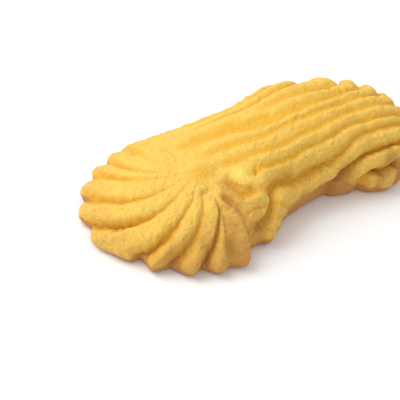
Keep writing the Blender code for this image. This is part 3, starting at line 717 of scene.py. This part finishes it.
def biscuit_surface(groove_depth, crumb_height):
    """Grid of points in millimetres, rows by columns, with its groove, toast and crumbly values; the toast
    value holds browning and painted shade, and goes below 0 where a highlight is painted. A row goes round
    the biscuit, and a column from the spine out over the crown, in under the edge and back to the spine
    below. Out from the spine the crown's distance is a sine and its height a power of a cosine, a quarter of
    an ellipse where the power is 1. The edge under the widest level is a quarter of an ellipse. The crown is
    carved along its normal, and the edge straight in."""
    spine, angle, walked = walk_round()
    outward = np.stack([np.cos(np.radians(angle)), np.sin(np.radians(angle))], axis=1)
    reach = crest_reach(walked)
    crown = smooth_curve(CROWN, spine[:, 0])
    widest = smooth_curve(WIDEST, spine[:, 0] + WIDEST_WAY_OUT * outward[:, 0] * reach)
    thinning = smooth_curve(THINNING, spine[:, 0] + outward[:, 0] * reach)
    inset = smooth_curve(BASE_INSET, spine[:, 0] + outward[:, 0] * reach)
    down = np.linspace(0, np.pi / 2, TOP_ROWS)[:, None]
    fall = np.maximum(np.cos(down), 1e-6)  # above 0, so that its powers stay finite
    under = np.linspace(0, np.pi / 2, UNDER_ROWS + 1)[1:, None]
    distance = np.concatenate([np.sin(down) * reach, reach - inset * (1 - np.cos(under))])
    height = np.concatenate([widest + fall ** thinning * (crown - widest), (1 - np.sin(under)) * widest])
    facing = np.concatenate([np.stack([thinning * fall ** (thinning - 1) * np.sin(down) / reach,
                                       fall / (crown - widest)]),
                             np.stack([np.ones((UNDER_ROWS, len(reach))),
                                       np.zeros((UNDER_ROWS, len(reach)))])], axis=1)
    facing = facing / np.hypot(facing[0], facing[1])
    rim = np.minimum(np.arange(TOP_ROWS + UNDER_ROWS), TOP_ROWS - 1)
    place = spine + outward * distance[rim][..., None]
    carved, groove, hollow_browning_and_painted_light = carving(place[..., 0], place[..., 1], groove_depth)
    shell = np.concatenate([spine + outward * distance[..., None], height[..., None]], axis=-1)
    carved = carved + crumb_depth(shell, 1 - groove, crumb_height)
    carved = carved * np.concatenate([np.ones((TOP_ROWS, 1)), 1 - UNDER_EASING * np.sin(under)])
    distance = distance - facing[0] * carved
    above = height[:TOP_ROWS] - widest
    height[:TOP_ROWS] -= np.minimum(facing[1, :TOP_ROWS] * carved[:TOP_ROWS], SINK * above)
    height[-1] = 0
    points = np.concatenate([spine + outward * distance[..., None], height[..., None]], axis=-1)
    below = np.concatenate([spine, np.zeros((len(spine), 1))], axis=1)
    points = np.concatenate([points, below[None]])
    values = {"groove": groove, "toast_and_painted_light": toasting_and_painted_shade(points[:-1], groove) + hollow_browning_and_painted_light,
              "crumbly": crumbliness(points[:-1])}
    return points, {name: np.concatenate([value, value[-1:]]) for name, value in values.items()}


def crumbliness(points):
    """How coarse the crumb is, 0 to 1: most on the near side's wall, less on the rosette, least on the top.
    Smooth steps set it, and lumps vary it."""
    x, y = points[..., 0], points[..., 1]
    wall = smooth_step(*WALL_BAND, -y / smooth_curve(NEAR_REACH, x))
    rosette = ROSETTE_COARSENESS * smooth_step(*ON_ROSETTE, x)
    return np.clip(np.maximum(wall, rosette) + COARSENESS_VARIES * lumps(points, *COARSENESS), 0, 1)


def toasting_and_painted_shade(points, groove):
    """How much the crust is darkened towards the toasted colour, 0 to 1, by browning and painted shade: the
    most of what the base, the petals' tips, the ribbon's near edge and its noses give, each made of smooth
    steps in height, in distance or in a coordinate. The near petals, part of the near grooves and of the near
    edge, and the base's band at the waist carry painted shade."""
    x, y, z = points[..., 0], points[..., 1], points[..., 2]
    spared = PETAL_CREST_SPARED * (1 - groove) * smooth_step(*ON_PETALS, x)
    browned_or_shaded_height = smooth_curve(BROWNING_AND_SHADE, x) * (1 - spared)
    base = 1 - smooth_step(*BASE_BAND, (z + WAVER_HEIGHT * lumps(points, *WAVER)) / browned_or_shaded_height)
    from_peak = np.hypot(x - PEAK[0], y - PEAK[1])
    near_grooves = smooth_step(*IN_GROOVE, groove) * smooth_step(*NEAR_HALF, y)
    tips_and_near_shade = TIP_TOAST * smooth_step(*TIPS_OUT, from_peak) * (1 - groove)
    # Partly browning and partly painted shade: the deep grooves between the tips on the near half are
    # darkened.
    tips_and_near_shade = tips_and_near_shade + TIP_GROOVE_TOAST_AND_SHADE * smooth_step(*TIP_GROOVES_OUT, from_peak) * near_grooves
    # Painted shade: the near petals are darkened because they face away from the lamp.
    tips_and_near_shade = tips_and_near_shade + NEAR_PETAL_PAINTED_SHADE * smooth_step(*NEAR_PETALS, y)
    # Partly browning and partly painted shade: the ribbon's near edge and wall are darkened.
    edge = smooth_step(*EDGE_BAND, -y / smooth_curve(NEAR_REACH, x))
    edge = EDGE_TOAST_AND_SHADE * edge * smooth_step(*EDGE_STARTS, x) * smooth_step(*EDGE_ENDS, x)
    from_turn = np.hypot(x - FAR_TURN[0], y - FAR_TURN[1])
    noses = NOSE_TOAST * smooth_step(*NOSES_OUT, from_turn) * smooth_step(*ON_NOSES, x)
    return np.clip(np.maximum.reduce([base, tips_and_near_shade * (x < ROSETTE_ENDS), edge, noses]), 0, 1)


def closed_faces(rows):
    """Triangles of the grid. Its first and last rows fold shut along the spine, where the far end's and the
    rosette's columns meet in a point, and triangles without area are left out."""
    columns = 2 * SIDE_COLUMNS + FAR_COLUMNS + ROSETTE_COLUMNS
    index = np.arange(rows * columns).reshape(rows, columns)
    fold = np.zeros(columns, dtype=int)
    fold[1:SIDE_COLUMNS] = np.arange(1, SIDE_COLUMNS)
    fold[SIDE_COLUMNS:SIDE_COLUMNS + FAR_COLUMNS + 1] = SIDE_COLUMNS
    fold[SIDE_COLUMNS + FAR_COLUMNS + 1:2 * SIDE_COLUMNS + FAR_COLUMNS] = np.arange(SIDE_COLUMNS - 1, 0, -1)
    index[0] = fold
    index[-1] = (rows - 1) * columns + fold
    ring = np.roll(index, -1, axis=1)
    quads = np.stack([index[:-1], index[1:], ring[1:], ring[:-1]], axis=-1).reshape(-1, 4)
    faces = np.concatenate([quads[:, :3], quads[:, [0, 2, 3]]])
    distinct = (faces[:, 0] != faces[:, 1]) & (faces[:, 1] != faces[:, 2]) & (faces[:, 2] != faces[:, 0])
    return faces[distinct]


def biscuit_mesh(settings):
    """The biscuit's mesh in metres about the part's origin, with groove, toast and crumbly as attributes;
    toast holds browning, painted shade and one painted highlight.
    """
    points, values = biscuit_surface(settings.groove_depth, settings.crumb_height / MM)
    used, faces = np.unique(closed_faces(len(points)), return_inverse=True)
    vertices = (points.reshape(-1, 3)[used] - (*MIDDLE, 0)) * MM
    mesh = bpy.data.meshes.new("baked_biscuit")
    mesh.from_pydata(vertices, [], faces.reshape(-1, 3))
    for name, value in values.items():
        attribute = mesh.attributes.new(name, "FLOAT", "POINT")
        attribute.data.foreach_set("value", value.ravel()[used].astype(np.float32))
    mesh.shade_smooth()
    return mesh


def baked_crumb(settings):
    """Baked dough: golden flanks, pale crumbly crests, orange grooves that are partly painted warm bounce
    light, and browned edges, with fine crumb. Painted shade darkens the near petals, the near wall, pockets,
    deep grooves and the crumb's pits towards the toasted colour, and a painted highlight pales one swelling.
    Each layer of colour lies over those before it, as far as its mask shows it, and a ramp's two numbers are
    the values of its pattern between which the mask rises."""
    material = bpy.data.materials.new("baked_dough")
    material.use_nodes = True
    tree = material.node_tree
    place = Value.of_node(tree, "ShaderNodeTexCoord", output="Object")
    groove, toast_and_painted_light, crumbly = (
        Value.of_node(tree, "ShaderNodeAttribute", {"attribute_name": name}, output="Fac")
        for name in ("groove", "toast_and_painted_light", "crumbly"))
    patches, crumb, grit = (
        Value.of_node(tree, "ShaderNodeTexNoise", inputs={"Vector": place, **pattern})
        for pattern in (PATCHES, CRUMB, GRIT))
    cells, specks = (
        Value.of_node(tree, "ShaderNodeTexVoronoi", inputs={"Vector": place, **pattern})
        for pattern in (CELLS, SPECKS))
    crests = (1 - groove.ramp(0.02, 0.35)) * crumb.ramp(0.3, 0.6)
    # Painted shade: the crumb's low spots in the bump are darkened towards the toasted colour.
    painted_pit_shade = (1 - crumb.ramp(0.35, 0.5)) * (1 - grit.ramp(0.4, 0.5))
    flakes = crumb.ramp(0.5, 0.65) * grit.ramp(0.45, 0.6)
    layers = (
        # Grooves: partly the crust's own colour, partly painted warm bounce light.
        (groove.ramp(0.1, 0.85), settings.groove),
        (crests * CRESTS_SHOW, settings.crest),
        (((patches.ramp(0.35, 0.7) - 0.5) * PATCHES_SHOW).ramp(0.0, 1.0), settings.crest),
        (grit.ramp(0.52, 0.72) * DARK_GRIT_SHOWS, settings.groove),
        ((1 - grit.ramp(0.3, 0.5)) * PALE_GRIT_SHOWS, settings.pale_and_painted_highlight),
        (painted_pit_shade * (PIT_SHADE_SHOWS + COARSE_CRUMB_SHOWS * crumbly), settings.toasted_and_painted_shade),
        (flakes * (FLAKES_SHOW + COARSE_CRUMB_SHOWS * crumbly), settings.pale_and_painted_highlight),
        # Painted highlight: where the toast value is below 0 the crust is paled.
        ((0 - toast_and_painted_light).ramp(0.0, 1.0), settings.pale_and_painted_highlight),
        # Browning and painted shade, both carried in the toast value.
        ((toast_and_painted_light * (TOAST_AND_SHADE_SHOW + TOAST_AND_SHADE_PATCHES * patches)).ramp(0.0, 1.0), settings.toasted_and_painted_shade),
        ((1 - specks.ramp(0.04, 0.12)) * SPECKS_SHOW, settings.toasted_and_painted_shade))
    colour = settings.crust
    for mask, tint in layers:
        colour = mask.mix(colour, tint)
    shader = tree.nodes["Principled BSDF"]
    feed(tree, shader.inputs["Base Color"], colour)
    feed(tree, shader.inputs["Roughness"], ROUGHNESS + ROUGHNESS_VARIES * crumb)
    height = crumb * CRUMB_BUMP + grit * GRIT_BUMP - cells * CELL_BUMP
    height = height * (BUMP_HEIGHT + COARSE_BUMP * crumbly)
    bump = Value.of_node(tree, "ShaderNodeBump", inputs={"Height": height, **BUMP})
    feed(tree, shader.inputs["Normal"], bump)
    return material


class OBJECT_OT_add_piped_biscuit(bpy.types.Operator):
    """Add the piped biscuit in place of its plain solid"""
    bl_idname = "object.add_piped_biscuit"
    bl_label = "Piped Biscuit"

    def execute(self, context):
        settings = context.scene.piped_biscuit
        piece = bpy.data.objects.new("baked_biscuit", biscuit_mesh(settings))
        context.scene.collection.objects.link(piece)
        piece.data.materials.append(baked_crumb(settings))
        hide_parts("biscuit")
        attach(piece, "root")
        return {"FINISHED"}


def view_axes():
    """The view's rightward, upward and backward directions: turned round the biscuit, raised, then rolled."""
    turn, raised, roll = (math.radians(value) for value in (VIEW_TURN, VIEW_HEIGHT, VIEW_ROLL))
    backward = Vector((math.sin(turn) * math.cos(raised), -math.cos(turn) * math.cos(raised),
                       math.sin(raised)))
    level = Vector((math.cos(turn), math.sin(turn), 0))
    upward = backward.cross(level)
    rightward = math.cos(roll) * level + math.sin(roll) * upward
    return rightward, math.cos(roll) * upward - math.sin(roll) * level, backward


def add_camera(scene):
    """A camera where the photograph was taken from, looking a little past the biscuit's middle."""
    _, upward, backward = view_axes()
    middle = Vector((*MIDDLE, 0))
    place = backward * VIEW_DISTANCE - middle
    away = (place - (Vector(AIM) - middle)).normalized()
    right = upward.cross(away).normalized()
    camera = bpy.data.objects.new("camera", bpy.data.cameras.new("camera"))
    camera.data.sensor_width = SENSOR
    camera.data.lens = VIEW_LENS
    camera.data.clip_start = 0.01
    scene.collection.objects.link(camera)
    camera.matrix_world = (Matrix.Translation(place * MM)
                           @ Matrix((right, away.cross(right), away)).transposed().to_4x4())
    scene.camera = camera


def add_lamp(scene, place, power):
    """A large soft lamp that faces the biscuit."""
    lamp = bpy.data.lights.new("key_lamp", "AREA")
    lamp.size = KEY_SIZE
    lamp.energy = power
    holder = bpy.data.objects.new("key_lamp", lamp)
    holder.location = place
    holder.rotation_mode = "QUATERNION"
    holder.rotation_quaternion = place.to_track_quat("Z", "Y")
    scene.collection.objects.link(holder)


def add_floor(scene, colour):
    """A plain pale floor, as one large square at the base's level."""
    mesh = bpy.data.meshes.new("floor")
    corners = [(FLOOR_HALF * x, FLOOR_HALF * y, 0) for x, y in ((-1, -1), (1, -1), (1, 1), (-1, 1))]
    mesh.from_pydata(corners, [], [(0, 1, 2, 3)])
    material = bpy.data.materials.new("floor")
    material.use_nodes = True
    shader = material.node_tree.nodes["Principled BSDF"]
    shader.inputs["Base Color"].default_value = (*colour, 1)
    shader.inputs["Roughness"].default_value = FLOOR_ROUGHNESS
    mesh.materials.append(material)
    floor = bpy.data.objects.new("floor", mesh)
    scene.collection.objects.link(floor)


def add_sky(scene, strength):
    """Even white light from all round."""
    world = bpy.data.worlds.new("studio")
    world.use_nodes = True
    background = world.node_tree.nodes["Background"]
    background.inputs["Color"].default_value = (1, 1, 1, 1)
    background.inputs["Strength"].default_value = strength
    scene.world = world


class SCENE_OT_set_biscuit_stage(bpy.types.Operator):
    """Set a pale floor, soft studio light and the photograph's view"""
    bl_idname = "scene.set_biscuit_stage"
    bl_label = "Biscuit Stage"

    def execute(self, context):
        scene = context.scene
        settings = scene.biscuit_stage
        add_floor(scene, settings.floor_colour)
        add_camera(scene)
        towards_lamp = sum((share * axis for share, axis in zip(KEY_DIRECTION, view_axes())), Vector())
        add_lamp(scene, towards_lamp.normalized() * KEY_DISTANCE, settings.key_light)
        add_sky(scene, settings.sky_light)
        scene.view_settings.view_transform = "Standard"
        return {"FINISHED"}


class VIEW3D_PT_piped_biscuit(bpy.types.Panel):
    """The biscuit's sizes and colours, and its stage"""
    bl_label = "Piped Biscuit"
    bl_space_type = "VIEW_3D"
    bl_region_type = "UI"
    bl_category = "Biscuit"

    def draw(self, context):
        scene = context.scene
        for settings, operator in ((scene.piped_biscuit, OBJECT_OT_add_piped_biscuit),
                                   (scene.biscuit_stage, SCENE_OT_set_biscuit_stage)):
            column = self.layout.column()
            for name in settings.__annotations__:
                column.prop(settings, name)
            column.operator(operator.bl_idname)


CLASSES = (BiscuitSettings, StageSettings, OBJECT_OT_add_piped_biscuit, SCENE_OT_set_biscuit_stage,
           VIEW3D_PT_piped_biscuit)


def register():
    """Registers the classes and puts their settings on the scene."""
    for cls in CLASSES:
        bpy.utils.register_class(cls)
    bpy.types.Scene.piped_biscuit = bpy.props.PointerProperty(type=BiscuitSettings)
    bpy.types.Scene.biscuit_stage = bpy.props.PointerProperty(type=StageSettings)


def unregister():
    """Takes away what register has put in place."""
    del bpy.types.Scene.biscuit_stage
    del bpy.types.Scene.piped_biscuit
    for cls in reversed(CLASSES):
        bpy.utils.unregister_class(cls)


def main():
    """Makes the biscuit and its stage."""
    register()
    bpy.ops.object.add_piped_biscuit()
    bpy.ops.scene.set_biscuit_stage()


if __name__ == "__main__":
    main()
